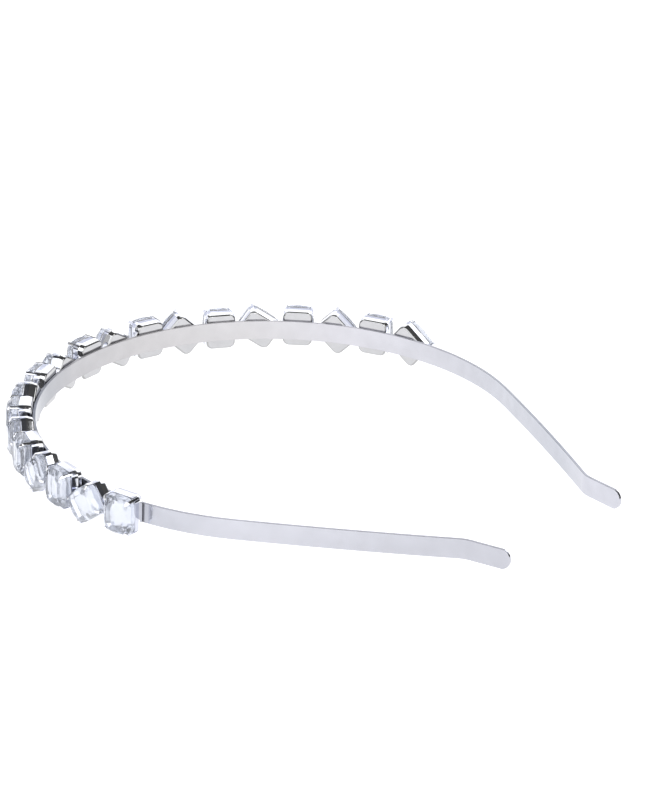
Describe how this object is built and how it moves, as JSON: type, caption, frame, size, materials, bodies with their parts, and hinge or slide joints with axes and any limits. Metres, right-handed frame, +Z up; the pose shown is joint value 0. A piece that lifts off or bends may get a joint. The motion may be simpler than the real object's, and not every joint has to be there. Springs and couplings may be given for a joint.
{
  "type": "crystal headband",
  "caption": "Narrow silver-coloured metal headband, an open arch with flared round ends, its crown lined with clear cut stones in claw settings, upright and turned in turn.",
  "frame": {"origin": "centre of the bounding box in plan, at the lowest point of the headband as it lies on its side", "axes": "+Z up, across the width of the strip; +Y towards the crown; -Y towards the two ends; X from arm to arm, the row of stones reaching further down the -X arm"},
  "size_m": [0.1336, 0.154, 0.0117],
  "materials": {
    "band": "polished silver-coloured plating",
    "setting": "polished silver-coloured plating",
    "crystal": "clear, cut and polished"
  },
  "bodies": {
    "root": {"band": "band", "setting_01": "setting", "setting_02": "setting", "setting_03": "setting", "setting_04": "setting", "setting_05": "setting", "setting_06": "setting", "setting_07": "setting", "setting_08": "setting", "setting_09": "setting", "setting_10": "setting", "setting_11": "setting", "setting_12": "setting", "setting_13": "setting", "setting_14": "setting", "setting_15": "setting", "setting_16": "setting", "setting_17": "setting", "setting_18": "setting", "setting_19": "setting", "setting_20": "setting", "stone_01": "crystal", "stone_02": "crystal", "stone_03": "crystal", "stone_04": "crystal", "stone_05": "crystal", "stone_06": "crystal", "stone_07": "crystal", "stone_08": "crystal", "stone_09": "crystal", "stone_10": "crystal", "stone_11": "crystal", "stone_12": "crystal", "stone_13": "crystal", "stone_14": "crystal", "stone_15": "crystal", "stone_16": "crystal", "stone_17": "crystal", "stone_18": "crystal", "stone_19": "crystal", "stone_20": "crystal"}
  },
  "joints": []
}
